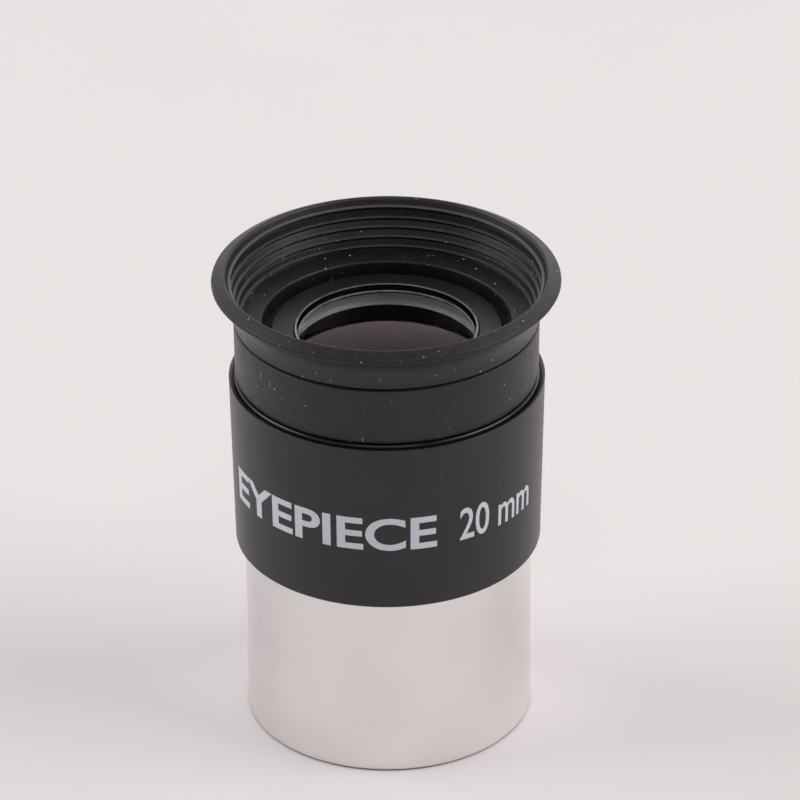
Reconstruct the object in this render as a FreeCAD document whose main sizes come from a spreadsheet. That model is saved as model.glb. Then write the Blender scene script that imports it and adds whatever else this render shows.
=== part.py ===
import FreeCAD, Part
import Sketcher
import math
import os

# ---------------------------------------------------------------------------
# 20 mm telescope eyepiece with a 1.25 inch barrel.
# Frame: millimetres, +Z is the optical axis towards the eye, and the origin is
# the centre of the barrel's lower end, on which the eyepiece stands.
# Every piece is turned about Z, so almost every sketch is a half section.
# ---------------------------------------------------------------------------

doc = FreeCAD.newDocument("telescope_eyepiece")
V = FreeCAD.Vector

DIMENSIONS = [
    # alias, value, what it is
    ("barrel_radius", 15.875, "1.25 inch barrel, outside radius"),
    ("barrel_edge_round", 0.43, "rounding of the barrel's lower outside edge"),
    ("shoulder_height", 21.8, "visible barrel length, up to the shoulder"),
    ("filter_radius", 14.25, "M28.5 x 0.6 filter thread, nominal radius"),
    ("filter_mouth", 0.35, "chamfer at the filter thread's mouth"),
    ("filter_depth", 5.5, "end of the filter thread"),
    ("filter_relief", 0.8, "height of the thread's run-out groove"),
    ("relief_radius", 14.6, "radius of the run-out groove"),
    ("bore_radius", 13.9, "barrel bore below the field stop"),
    ("upper_bore_radius", 13.3, "barrel bore above the field stop"),
    ("stop_seat_height", 18.0, "shoulder that the field stop ring seats on"),
    ("spigot_radius", 15.0, "M30 x 0.75 spigot, outside radius"),
    ("spigot_neck_radius", 14.55, "run-out groove at the spigot's root"),
    ("spigot_neck_height", 0.8, "height of that groove"),
    ("spigot_top", 27.0, "upper end of the spigot"),
    ("spigot_lead", 0.4, "lead-in chamfer of the spigot"),
    ("thread_gap", 0.05, "running clearance of the barrel thread"),
    ("stop_ring_radius", 13.85, "field stop ring, outside radius"),
    ("stop_ring_low", 15.0, "lower end of the field stop ring"),
    ("stop_aperture", 8.6, "field stop aperture radius"),
    ("stop_wall", 12.6, "inside radius of the field stop ring's rim"),
    ("stop_slot_width", 1.4, "spanner slots of the field stop ring"),
    ("stop_slot_depth", 0.6, "their depth"),
    ("cell_seat_radius", 16.22, "lens cell, land that carries the sleeve"),
    ("cell_collar_radius", 16.76, "lens cell, bead under the eyecup"),
    ("cell_collar_low", 40.9, "lower face of the bead"),
    ("cell_deck", 42.0, "deck that the eyecup stands on"),
    ("cell_neck_radius", 14.2, "groove that the eyecup grips"),
    ("cell_hook_low", 44.6, "lower face of the retaining flange"),
    ("cell_hook_top", 46.3, "upper face of the retaining flange"),
    ("cell_hook_radius", 15.0, "radius of the retaining flange"),
    ("cell_nose_radius", 12.6, "front face, outside radius"),
    ("cell_nose_top", 47.2, "front face height"),
    ("cell_ridge_radius", 9.95, "ridge round the eye lens, outside"),
    ("cell_ridge_top", 47.4, "top of the ridge"),
    ("cell_aperture", 9.6, "clear opening over the eye lens"),
    ("cell_lip_low", 46.2, "underside of the lip that holds the eye lens"),
    ("cell_bore_radius", 10.65, "bore that holds the lenses"),
    ("ring_thread_top", 32.2, "end of the retaining ring's thread"),
    ("ring_thread_radius", 11.25, "bore of that thread"),
    ("cell_floor", 28.6, "lower end of that thread"),
    ("cell_cavity_top", 27.8, "end of the bore that takes the spigot"),
    ("sleeve_bore", 16.25, "sleeve, inside radius"),
    ("sleeve_low_radius", 16.9, "sleeve, outside radius at the shoulder"),
    ("sleeve_top_radius", 17.33, "sleeve, outside radius at the lip"),
    ("sleeve_top", 41.7, "height of the lip"),
    ("sleeve_lip_radius", 16.85, "inside radius of the lip"),
    ("sleeve_edge_round", 0.2, "rounding of the sleeve's lower edge"),
    ("sleeve_lip_round", 0.08, "rounding of the lip's outer edge"),
    ("lens_radius", 10.6, "radius of both cemented doublets"),
    ("land_radius", 9.8, "inside radius of the ground lands"),
    ("eye_apex", 47.1, "top of the eye lens"),
    ("eye_cement", 45.1, "cemented surface of the eye doublet, on the axis"),
    ("eye_inner_apex", 38.9, "inner vertex of the eye doublet"),
    ("field_inner_apex", 38.4, "inner vertex of the field doublet"),
    ("field_cement", 31.9, "cemented surface of the field doublet, on the axis"),
    ("field_apex", 30.4, "lower vertex of the field lens"),
    ("flint_curve", 50.0, "curvature radius of the outer surfaces"),
    ("cement_curve", 18.0, "curvature radius of the cemented surfaces"),
    ("crown_curve", 26.0, "curvature radius of the inner surfaces"),
    ("cement_gap", 0.02, "cement layer"),
    ("spacer_radius", 10.5, "spacer ring, outside radius"),
    ("spacer_bore", 9.86, "spacer ring, inside radius"),
    ("spacer_low", 36.53, "spacer ring, lower end"),
    ("spacer_top", 40.77, "spacer ring, upper end"),
    ("retainer_radius", 11.2, "retaining ring, outside radius"),
    ("retainer_low", 28.8, "retaining ring, lower end"),
    ("retainer_top", 31.32, "retaining ring, upper end"),
    ("retainer_bore", 9.6, "retaining ring, inside radius"),
    ("retainer_slot_width", 1.2, "spanner slots of the retaining ring"),
    ("retainer_slot_depth", 0.9, "their depth"),
    ("cup_low", 42.05, "eyecup, lower edge"),
    ("cup_low_radius", 16.65, "eyecup skirt, radius near its lower edge"),
    ("cup_radius", 16.7, "eyecup skirt, radius at the fold"),
    ("cup_edge", 0.25, "chamfer of the eyecup's lower edge"),
    ("cup_grip_radius", 14.35, "bead that grips the cell's groove"),
    ("cup_grip_top", 44.55, "top of that bead"),
    ("cup_pocket_radius", 15.05, "pocket over the retaining flange"),
    ("cup_ledge_low", 46.35, "underside of the ledge over the flange"),
    ("cup_ledge_radius", 13.55, "opening of the ledge"),
    ("cup_ledge_top", 48.2, "edge of the funnel"),
    ("fold_height", 48.8, "fold line of the eyecup"),
    ("fold_groove_radius", 16.36, "bottom of the fold's groove"),
    ("fold_groove_half", 0.2, "half height of the groove"),
    ("fold_inner_radius", 15.9, "inside radius at the fold line"),
    ("flare_top", 53.18, "upper end of the flared wall"),
    ("flare_top_radius", 18.98, "outside radius there"),
    ("rim_low", 53.2, "lower face of the rim"),
    ("rim_top", 54.24, "crest of the rim"),
    ("rim_radius", 19.04, "largest radius of the eyecup"),
    ("rim_inner_radius", 17.0, "inside radius of the rim"),
    ("rim_edge_top", 53.6, "top of the rim's outer edge"),
    ("rim_crest_radius", 17.66, "radius of the rim's crest"),
]

sheet = doc.addObject("Spreadsheet::Sheet", "Dims")
DIM = {}
for row, (alias, value, note) in enumerate(DIMENSIONS, start=1):
    sheet.set("A%d" % row, note)
    sheet.set("B%d" % row, repr(value))
    sheet.setAlias("B%d" % row, alias)
    DIM[alias] = value
doc.recompute()


def split_terms(text):
    return text.replace("+", " + ").replace("-", " - ").split()


def value_of(text):
    """Value of a sum or difference of sheet cells and plain numbers."""
    total, sign = 0.0, 1.0
    for term in split_terms(text):
        if term == "+":
            sign = 1.0
        elif term == "-":
            sign = -1.0
        else:
            total += sign * (DIM[term] if term in DIM else float(term))
            sign = 1.0
    return total


def bound(text):
    """The same sum as an expression that reads the spreadsheet."""
    return " ".join("Dims." + t if t in DIM else t for t in split_terms(text))


def origin_plane(body, role):
    return next(f for f in body.Origin.OriginFeatures if f.Role == role)


def bind(sketch, index, name, text):
    sketch.renameConstraint(index, name)
    sketch.setExpression("Constraints." + name, bound(text))


def closed_sketch(body, name, points, arcs=None, solved=None):
    """A closed outline on the XZ plane: radius across, height up.

    points: (radius, height) texts, counter-clockwise.
    arcs:   segment number -> (radius text, side, centre on the axis), where
            side is 1 for a centre to the left of the direction of travel.
    solved: point number -> height that the arc's radius decides.
    """
    arcs = arcs or {}
    solved = solved or {}
    sketch = body.newObject("Sketcher::SketchObject", name)
    sketch.AttachmentSupport = [(origin_plane(body, "XZ_Plane"), "")]
    sketch.MapMode = "FlatFace"
    count = len(points)
    spots = []
    for i, (radius, height) in enumerate(points):
        z = solved[i] if i in solved else value_of(height)
        spots.append(V(value_of(radius), z, 0))
    first, last = [], []
    for i in range(count):
        a, b = spots[i], spots[(i + 1) % count]
        if i in arcs:
            rho = value_of(arcs[i][0])
            side = arcs[i][1]
            mid = (a + b) * 0.5
            run = b - a
            half = run.Length / 2.0
            normal = V(-run.y, run.x, 0) * (1.0 / run.Length)
            centre = mid + normal * (side * math.sqrt(rho * rho - half * half))
            start = math.atan2(a.y - centre.y, a.x - centre.x)
            end = math.atan2(b.y - centre.y, b.x - centre.x)
            circle = Part.Circle(centre, V(0, 0, 1), rho)
            if side > 0:
                sketch.addGeometry(Part.ArcOfCircle(circle, start, end), False)
                first.append(1)
                last.append(2)
            else:
                sketch.addGeometry(Part.ArcOfCircle(circle, end, start), False)
                first.append(2)
                last.append(1)
        else:
            sketch.addGeometry(Part.LineSegment(a, b), False)
            first.append(1)
            last.append(2)
    for i in range(count):
        k = (i + 1) % count
        sketch.addConstraint(Sketcher.Constraint("Coincident", i, last[i], k, first[k]))
    for i, (radius, height) in enumerate(points):
        if spots[i].x == 0.0:
            sketch.addConstraint(Sketcher.Constraint("PointOnObject", i, first[i], -2))
        else:
            c = sketch.addConstraint(Sketcher.Constraint("DistanceX", -1, 1, i, first[i], spots[i].x))
            bind(sketch, c, "radius_%d" % i, radius)
        if i in solved:
            continue
        if spots[i].y == 0.0:
            sketch.addConstraint(Sketcher.Constraint("PointOnObject", i, first[i], -1))
        else:
            c = sketch.addConstraint(Sketcher.Constraint("DistanceY", -1, 1, i, first[i], spots[i].y))
            bind(sketch, c, "height_%d" % i, height)
    for i, (rho, side, on_axis) in arcs.items():
        c = sketch.addConstraint(Sketcher.Constraint("Radius", i, value_of(rho)))
        bind(sketch, c, "curve_%d" % i, rho)
        if on_axis:
            sketch.addConstraint(Sketcher.Constraint("PointOnObject", i, 3, -2))
    return sketch


def turned(label, points, arcs=None, solved=None):
    """A body turned about Z from a half section."""
    body = doc.addObject("PartDesign::Body", label)
    body.Label = label
    body.Placement = FreeCAD.Placement(V(0, 0, 0), FreeCAD.Rotation(0, 0, 0))
    sketch = closed_sketch(body, label + "_section", points, arcs, solved)
    turn = body.newObject("PartDesign::Revolution", label + "_turned")
    turn.Profile = sketch
    turn.ReferenceAxis = (sketch, ["V_Axis"])
    turn.Angle = 360
    body.Tip = turn
    doc.recompute()
    return body


def circle_edges(shape, radius, height):
    names = []
    for i, edge in enumerate(shape.Edges, start=1):
        curve = edge.Curve
        if isinstance(curve, Part.Circle) and abs(curve.Radius - radius) < 1e-3 \
                and abs(curve.Center.z - height) < 1e-3:
            names.append("Edge%d" % i)
    return names


def rounded(body, radius, height, size):
    """Rounds the circular edge at that radius and height."""
    base = body.Tip
    names = circle_edges(base.Shape, value_of(radius), value_of(height))
    if not names:
        raise RuntimeError("no edge to round on " + body.Label)
    fillet = body.newObject("PartDesign::Fillet", body.Label + "_round")
    fillet.Base = (base, names)
    fillet.setExpression("Radius", bound(size))
    body.Tip = fillet
    doc.recompute()
    return fillet


def slotted(body, width, low, high, reach):
    """Two spanner slots across a ring, cut along Y through both sides."""
    before = body.Tip.Shape.Volume
    sketch = body.newObject("Sketcher::SketchObject", body.Label + "_slot_outline")
    sketch.AttachmentSupport = [(origin_plane(body, "XZ_Plane"), "")]
    sketch.MapMode = "FlatFace"
    w = value_of(width) / 2.0
    z0, z1 = value_of(low), value_of(high)
    spots = [V(-w, z0, 0), V(w, z0, 0), V(w, z1, 0), V(-w, z1, 0)]
    for i in range(4):
        sketch.addGeometry(Part.LineSegment(spots[i], spots[(i + 1) % 4]), False)
    for i in range(4):
        sketch.addConstraint(Sketcher.Constraint("Coincident", i, 2, (i + 1) % 4, 1))
    sketch.addConstraint(Sketcher.Constraint("Horizontal", 2))
    sketch.addConstraint(Sketcher.Constraint("Vertical", 1))
    sketch.addConstraint(Sketcher.Constraint("Vertical", 3))
    sketch.addConstraint(Sketcher.Constraint("Symmetric", 0, 1, 0, 2, -2))
    c = sketch.addConstraint(Sketcher.Constraint("DistanceX", 0, 1, 0, 2, 2 * w))
    bind(sketch, c, "slot_width", width)
    c = sketch.addConstraint(Sketcher.Constraint("DistanceY", -1, 1, 0, 1, z0))
    bind(sketch, c, "slot_low", low)
    c = sketch.addConstraint(Sketcher.Constraint("DistanceY", -1, 1, 3, 1, z1))
    bind(sketch, c, "slot_high", high)
    pocket = body.newObject("PartDesign::Pocket", body.Label + "_slots")
    pocket.Profile = sketch
    pocket.Type = "Length"
    pocket.SideType = "Symmetric"
    pocket.Length = reach
    body.Tip = pocket
    doc.recompute()
    if not before - body.Tip.Shape.Volume > 0.5:
        raise RuntimeError("the slots cut nothing on " + body.Label)


# --- chromed barrel --------------------------------------------------------
barrel = turned("barrel", [
    ("filter_radius + filter_mouth", "0"),
    ("barrel_radius", "0"),
    ("barrel_radius", "shoulder_height"),
    ("spigot_neck_radius", "shoulder_height"),
    ("spigot_neck_radius", "shoulder_height + spigot_neck_height"),
    ("spigot_radius", "shoulder_height + spigot_neck_height + spigot_lead"),
    ("spigot_radius", "spigot_top - spigot_lead"),
    ("spigot_radius - spigot_lead", "spigot_top"),
    ("upper_bore_radius", "spigot_top"),
    ("upper_bore_radius", "stop_seat_height"),
    ("bore_radius", "stop_seat_height"),
    ("bore_radius", "filter_depth + filter_relief"),
    ("relief_radius", "filter_depth + filter_relief"),
    ("relief_radius", "filter_depth"),
    ("filter_radius", "filter_depth"),
    ("filter_radius", "filter_mouth"),
])
rounded(barrel, "barrel_radius", "0", "barrel_edge_round")

# --- field stop ring, screwed up into the barrel ---------------------------
stop = turned("field_stop_ring", [
    ("stop_wall", "stop_ring_low"),
    ("stop_ring_radius", "stop_ring_low"),
    ("stop_ring_radius", "stop_seat_height - thread_gap"),
    ("stop_wall", "stop_seat_height - thread_gap"),
    ("stop_aperture", "stop_ring_low + 1.35"),
    ("stop_aperture", "stop_ring_low + 1.2"),
    ("stop_wall", "stop_ring_low + 0.9"),
])
slotted(stop, "stop_slot_width", "stop_ring_low - 0.5", "stop_ring_low + stop_slot_depth", 40.0)

# --- lens cell, the inner housing ------------------------------------------
cell = turned("lens_cell", [
    ("spigot_radius + thread_gap", "shoulder_height"),
    ("cell_seat_radius", "shoulder_height"),
    ("cell_seat_radius", "cell_collar_low"),
    ("cell_collar_radius", "cell_collar_low"),
    ("cell_collar_radius", "cell_deck - 0.4"),
    ("cell_collar_radius - 0.4", "cell_deck"),
    ("cell_neck_radius", "cell_deck"),
    ("cell_neck_radius", "cell_hook_low"),
    ("cell_hook_radius", "cell_hook_low"),
    ("cell_hook_radius", "cell_hook_top"),
    ("cell_nose_radius", "cell_hook_top"),
    ("cell_nose_radius", "cell_nose_top"),
    ("cell_ridge_radius + 0.08", "cell_nose_top"),
    ("cell_ridge_radius", "cell_ridge_top"),
    ("cell_ridge_radius - 0.12", "cell_ridge_top"),
    ("cell_aperture", "cell_nose_top - 0.3"),
    ("cell_aperture", "cell_lip_low + 0.4"),
    ("cell_aperture + 0.24", "cell_lip_low"),
    ("cell_bore_radius", "cell_lip_low"),
    ("cell_bore_radius", "ring_thread_top"),
    ("ring_thread_radius", "ring_thread_top"),
    ("ring_thread_radius", "cell_floor"),
    ("upper_bore_radius", "cell_cavity_top"),
    ("spigot_radius + thread_gap", "cell_cavity_top"),
], arcs={4: ("0.4", 1, False)})

# --- printed outer sleeve ---------------------------------------------------
sleeve = turned("body_sleeve", [
    ("sleeve_bore", "shoulder_height"),
    ("sleeve_low_radius", "shoulder_height"),
    ("sleeve_top_radius", "sleeve_top"),
    ("sleeve_lip_radius", "sleeve_top"),
    ("sleeve_lip_radius", "cell_collar_low - 0.02"),
    ("sleeve_bore", "cell_collar_low - 0.02"),
])
rounded(sleeve, "sleeve_low_radius", "shoulder_height", "sleeve_edge_round")
rounded(sleeve, "sleeve_top_radius", "sleeve_top", "sleeve_lip_round")


# --- lenses -------------------------------------------------------------------
def sag(curve, radius):
    rho, r = DIM[curve], value_of(radius)
    return rho - math.sqrt(rho * rho - r * r)


# Outer flint of the eye doublet: convex above, hollow below.
turned("eye_flint_lens", [
    ("0", "eye_cement"),
    ("lens_radius", ""),
    ("lens_radius", ""),
    ("0", "eye_apex"),
], arcs={0: ("cement_curve", -1, True), 2: ("flint_curve", 1, True)},
   solved={1: DIM["eye_cement"] - sag("cement_curve", "lens_radius"),
           2: DIM["eye_apex"] - sag("flint_curve", "lens_radius")})

# Crown of the eye doublet: convex on both faces, with a ground land below.
inner_z = DIM["eye_inner_apex"] + sag("crown_curve", "land_radius")
crown = turned("eye_crown_lens", [
    ("0", "eye_inner_apex"),
    ("land_radius", ""),
    ("lens_radius", "%.6f" % inner_z),
    ("lens_radius", ""),
    ("0", "eye_cement - cement_gap"),
], arcs={0: ("crown_curve", 1, True), 3: ("cement_curve", 1, True)},
   solved={1: inner_z,
           3: DIM["eye_cement"] - DIM["cement_gap"] - sag("cement_curve", "lens_radius")})

# Crown of the field doublet: the eye crown turned over.
outer_z = DIM["field_inner_apex"] - sag("crown_curve", "land_radius")
turned("field_crown_lens", [
    ("0", "field_cement + cement_gap"),
    ("lens_radius", ""),
    ("lens_radius", "%.6f" % outer_z),
    ("land_radius", ""),
    ("0", "field_inner_apex"),
], arcs={0: ("cement_curve", 1, True), 3: ("crown_curve", 1, True)},
   solved={1: DIM["field_cement"] + DIM["cement_gap"] + sag("cement_curve", "lens_radius"),
           3: outer_z})

# Flint of the field doublet: convex below, with a ground land for its ring.
land_z = DIM["field_apex"] + sag("flint_curve", "land_radius")
turned("field_flint_lens", [
    ("0", "field_apex"),
    ("land_radius", ""),
    ("lens_radius", "%.6f" % land_z),
    ("lens_radius", ""),
    ("0", "field_cement"),
], arcs={0: ("flint_curve", 1, True), 3: ("cement_curve", -1, True)},
   solved={1: land_z,
           3: DIM["field_cement"] + sag("cement_curve", "lens_radius")})

# Ring that keeps the two doublets apart.
turned("lens_spacer_ring", [
    ("spacer_bore", "spacer_low"),
    ("spacer_radius", "spacer_low"),
    ("spacer_radius", "spacer_top"),
    ("spacer_bore", "spacer_top"),
])

# Slotted ring that holds the lenses from below.
ring = turned("lens_retaining_ring", [
    ("retainer_bore + 0.7", "retainer_low"),
    ("retainer_radius", "retainer_low"),
    ("retainer_radius", "retainer_top"),
    ("land_radius + 0.02", "retainer_top"),
    ("retainer_bore", "retainer_top - 0.3"),
    ("retainer_bore", "retainer_low + 1.3"),
])
slotted(ring, "retainer_slot_width", "retainer_low - 0.5", "retainer_low + retainer_slot_depth", 40.0)

# --- rubber eyecup: skirt, flared wall and rim ---------------------------------
turned("eyecup_skirt", [
    ("cup_grip_radius", "cup_low"),
    ("cup_low_radius - cup_edge", "cup_low"),
    ("cup_low_radius", "cup_low + cup_edge"),
    ("cup_radius", "fold_height - fold_groove_half"),
    ("fold_groove_radius", "fold_height"),
    ("fold_inner_radius", "fold_height"),
    ("fold_inner_radius - 0.04", "fold_height - 0.25"),
    ("cup_ledge_radius", "cup_ledge_top"),
    ("cup_ledge_radius", "cup_ledge_low"),
    ("cup_pocket_radius", "cup_ledge_low"),
    ("cup_pocket_radius", "cup_grip_top"),
    ("cup_grip_radius", "cup_grip_top"),
])

turned("eyecup_flare", [
    ("fold_inner_radius", "fold_height"),
    ("fold_groove_radius", "fold_height"),
    ("cup_radius", "fold_height + fold_groove_half"),
    ("flare_top_radius", "flare_top"),
    ("rim_inner_radius + 0.06", "flare_top"),
    ("17.38", "53.06"),
    ("17.38", "52.84"),
    ("17.26", "52.74"),
    ("17.16", "52.06"),
    ("16.80", "52.02"),
    ("16.80", "51.94"),
    ("17.02", "51.86"),
    ("17.02", "51.64"),
    ("16.92", "51.56"),
    ("16.83", "51.06"),
    ("16.47", "51.02"),
    ("16.47", "50.94"),
    ("16.69", "50.86"),
    ("16.69", "50.62"),
    ("16.59", "50.54"),
    ("16.48", "50.02"),
    ("16.12", "49.98"),
    ("16.12", "49.90"),
    ("16.34", "49.82"),
    ("16.34", "49.58"),
    ("16.24", "49.50"),
    ("16.14", "48.99"),
    ("15.80", "48.95"),
    ("15.80", "48.88"),
], arcs={2: ("6.2", -1, False)})

turned("eyecup_rim", [
    ("rim_inner_radius", "rim_low"),
    ("rim_radius - 0.06", "rim_low"),
    ("rim_radius", "rim_low + 0.08"),
    ("rim_radius - 0.12", "rim_edge_top"),
    ("rim_radius - 0.24", "rim_edge_top + 0.08"),
    ("rim_crest_radius + 0.3", "rim_top - 0.08"),
    ("rim_crest_radius", "rim_top"),
    ("rim_crest_radius - 0.22", "rim_top - 0.2"),
    ("rim_inner_radius + 0.16", "rim_low + 0.14"),
    ("rim_inner_radius", "rim_low + 0.08"),
])

# --- checks and export ------------------------------------------------------------
doc.recompute()
for obj in doc.Objects:
    for state in obj.State:
        if state in ("Invalid", "Error"):
            raise RuntimeError("%s is %s" % (obj.Label, state))

bodies = [o for o in doc.Objects if o.TypeId == "PartDesign::Body"]
for obj in doc.Objects:
    if obj.TypeId == "Sketcher::SketchObject" and not obj.FullyConstrained:
        raise RuntimeError("%s is not fully constrained" % obj.Label)
for body in bodies:
    shape = body.Shape
    if shape.isNull() or not shape.isValid() or len(shape.Solids) != 1:
        raise RuntimeError("bad shape: " + body.Label)

os.makedirs("parts", exist_ok=True)
for body in bodies:
    body.Shape.exportStep(os.path.join("parts", body.Label + ".step"))
    box = body.Shape.BoundBox
    print("%-20s volume %9.2f mm3   r %.3f   z %.3f to %.3f" %
          (body.Label, body.Shape.Volume, box.XMax, box.ZMin, box.ZMax))
print("%d parts" % len(bodies))
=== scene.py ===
import math

import bmesh
import bpy
import numpy as np
from mathutils import Matrix, Vector


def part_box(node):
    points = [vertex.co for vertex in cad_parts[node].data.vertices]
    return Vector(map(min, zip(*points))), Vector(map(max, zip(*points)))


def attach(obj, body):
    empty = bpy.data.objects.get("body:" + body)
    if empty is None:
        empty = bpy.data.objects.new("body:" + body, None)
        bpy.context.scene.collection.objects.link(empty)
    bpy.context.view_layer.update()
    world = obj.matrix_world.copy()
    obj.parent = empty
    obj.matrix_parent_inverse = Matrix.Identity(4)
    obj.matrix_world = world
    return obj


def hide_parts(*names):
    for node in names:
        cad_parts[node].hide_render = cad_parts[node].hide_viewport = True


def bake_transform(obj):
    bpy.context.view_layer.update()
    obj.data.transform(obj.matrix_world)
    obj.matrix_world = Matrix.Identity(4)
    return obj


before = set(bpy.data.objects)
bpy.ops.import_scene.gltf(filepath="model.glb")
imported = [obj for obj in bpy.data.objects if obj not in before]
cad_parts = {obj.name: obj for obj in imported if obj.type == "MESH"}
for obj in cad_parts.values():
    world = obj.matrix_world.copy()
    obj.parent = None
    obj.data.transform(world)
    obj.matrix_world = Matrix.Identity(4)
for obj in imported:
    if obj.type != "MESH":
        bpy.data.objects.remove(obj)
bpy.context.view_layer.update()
scene = bpy.context.scene

MM = 0.001
SEGS = 288          # facets round the axis

# Heights and radii in millimetres, read from the frame where it has them.
def node_box(name):
    lo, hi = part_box(name)
    return [c / MM for c in lo], [c / MM for c in hi]


b_lo, b_hi = node_box("barrel")
s_lo, s_hi = node_box("body_sleeve")
c_lo, c_hi = node_box("lens_cell")
k_lo, k_hi = node_box("eyecup_skirt")
f_lo, f_hi = node_box("eyecup_flare")
r_lo, r_hi = node_box("eyecup_rim")
R_BARREL = 15.875
Z_SHOULDER = s_lo[2]
Z_LIP = s_hi[2]


# ---------------------------------------------------------------------------
# Mesh helpers
# ---------------------------------------------------------------------------
def rounded_outline(points, closed=True, step=0.35, arc_deg=14.0):
    """points: (r, z) or (r, z, corner radius), or (r, z, corner radius, material).
    Returns a list of (r, z, material index of the run that follows)."""
    pts = [tuple(p) + (0.0,) * (3 - len(p)) if len(p) < 3 else tuple(p) for p in points]
    n = len(pts)
    mats, cur = [], 0
    for p in pts:
        if len(p) > 3:
            cur = p[3]
        mats.append(cur)
    out = []
    for i in range(n):
        p = Vector((pts[i][0], pts[i][1]))
        rho = pts[i][2]
        ends = (not closed) and i in (0, n - 1)
        if rho <= 0 or ends:
            corner = [p]
        else:
            a = Vector(pts[(i - 1) % n][:2])
            b = Vector(pts[(i + 1) % n][:2])
            u, v = (a - p), (b - p)
            lu, lv = u.length, v.length
            u.normalize()
            v.normalize()
            ang = math.acos(max(-1, min(1, u.dot(v))))
            if ang > math.pi - 0.02:
                corner = [p]
            else:
                t = min(rho / math.tan(ang / 2), 0.48 * lu, 0.48 * lv)
                rr = t * math.tan(ang / 2)
                bis = (u + v).normalized()
                c = p + bis * (rr / math.sin(ang / 2))
                p0, p1 = p + u * t, p + v * t
                a0 = math.atan2(p0.y - c.y, p0.x - c.x)
                a1 = math.atan2(p1.y - c.y, p1.x - c.x)
                d = (a1 - a0 + math.pi) % (2 * math.pi) - math.pi
                k = max(2, int(math.ceil(abs(math.degrees(d)) / arc_deg)))
                corner = [Vector((c.x + rr * math.cos(a0 + d * j / k), c.y + rr * math.sin(a0 + d * j / k))) for j in range(k + 1)]
        for q in corner:
            out.append([q.x, q.y, mats[i]])
        # the points of a corner belong to the run before until its last point
        for j in range(len(corner) - 1):
            out[-len(corner) + j][2] = mats[i - 1] if j < len(corner) // 2 else mats[i]
    # divide long runs so that bends and vertex attributes stay smooth
    dense = []
    m = len(out)
    for i in range(m):
        a = out[i]
        dense.append(a)
        if not closed and i == m - 1:
            break
        b = out[(i + 1) % m]
        L = math.hypot(b[0] - a[0], b[1] - a[1])
        k = int(L / step)
        for j in range(1, k):
            dense.append([a[0] + (b[0] - a[0]) * j / k, a[1] + (b[1] - a[1]) * j / k, a[2]])
    return dense


FACE_MATERIALS = {}     # material index of each face, set once the materials are on


def lathe(name, points, closed=True, segs=SEGS, step=0.35, arc_deg=14.0, sharp=32.0, wobble=None):
    """A turned piece. Open outlines start and end on the axis."""
    prof = rounded_outline(points, closed, step, arc_deg)
    verts, rows = [], []
    for r, z, _ in prof:
        if r < 1e-6:
            rows.append([len(verts)])
            verts.append((0.0, 0.0, z * MM))
        else:
            row = []
            for k in range(segs):
                a = 2 * math.pi * k / segs
                rr, zz = (r, z) if wobble is None else wobble(r, z, a)
                row.append(len(verts))
                verts.append((rr * math.cos(a) * MM, rr * math.sin(a) * MM, zz * MM))
            rows.append(row)
    faces, fmat = [], []
    count = len(prof)
    for i in range(count if closed else count - 1):
        A, B = rows[i], rows[(i + 1) % count]
        mi = int(prof[i][2])
        if len(A) == 1 and len(B) == 1:
            continue
        for k in range(segs):
            k2 = (k + 1) % segs
            if len(A) == 1:
                faces.append((A[0], B[k2], B[k]))
            elif len(B) == 1:
                faces.append((A[k], A[k2], B[0]))
            else:
                faces.append((A[k], A[k2], B[k2], B[k]))
            fmat.append(mi)
    me = bpy.data.meshes.new(name)
    me.from_pydata(verts, [], faces)
    me.polygons.foreach_set("use_smooth", [True] * len(faces))
    bm = bmesh.new()
    bm.from_mesh(me)
    bmesh.ops.recalc_face_normals(bm, faces=bm.faces)
    bm.to_mesh(me)
    bm.free()
    me.set_sharp_from_angle(angle=math.radians(sharp))
    ob = bpy.data.objects.new(name, me)
    scene.collection.objects.link(ob)
    FACE_MATERIALS[ob.name] = fmat
    return ob


def helix_thread(name, r_root, r_crest, z0, z1, pitch, segs=180, fade=0.5):
    """A thread ridge swept along a helix; r_crest is inside r_root for a nut thread."""
    turns = (z1 - z0) / pitch
    n = int(turns * segs)
    half = pitch * 0.46
    flat = pitch * 0.07
    prof = [(0.0, -half), (1.0, -flat), (1.0, flat), (0.0, half)]
    sink = -0.06 if r_crest > r_root else 0.06
    verts, faces = [], []
    for i in range(n + 1):
        a = 2 * math.pi * i / segs
        zc = z0 + pitch * i / segs
        grow = min(1.0, i / (segs * fade), (n - i) / (segs * fade))
        for w, dz in prof:
            base = r_root + sink
            r = base + (r_crest - base) * w * grow
            verts.append((r * math.cos(a) * MM, r * math.sin(a) * MM, (zc + dz) * MM))
    m = len(prof)
    for i in range(n):
        for j in range(m):
            j2 = (j + 1) % m
            faces.append((i * m + j, i * m + j2, (i + 1) * m + j2, (i + 1) * m + j))
    faces.append(tuple(range(m)))
    faces.append(tuple(n * m + j for j in reversed(range(m))))
    me = bpy.data.meshes.new(name)
    me.from_pydata(verts, [], faces)
    bm = bmesh.new()
    bm.from_mesh(me)
    bmesh.ops.recalc_face_normals(bm, faces=bm.faces)
    bm.to_mesh(me)
    bm.free()
    me.polygons.foreach_set("use_smooth", [True] * len(me.polygons))
    me.set_sharp_from_angle(angle=math.radians(35))
    ob = bpy.data.objects.new(name, me)
    scene.collection.objects.link(ob)
    return ob


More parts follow.
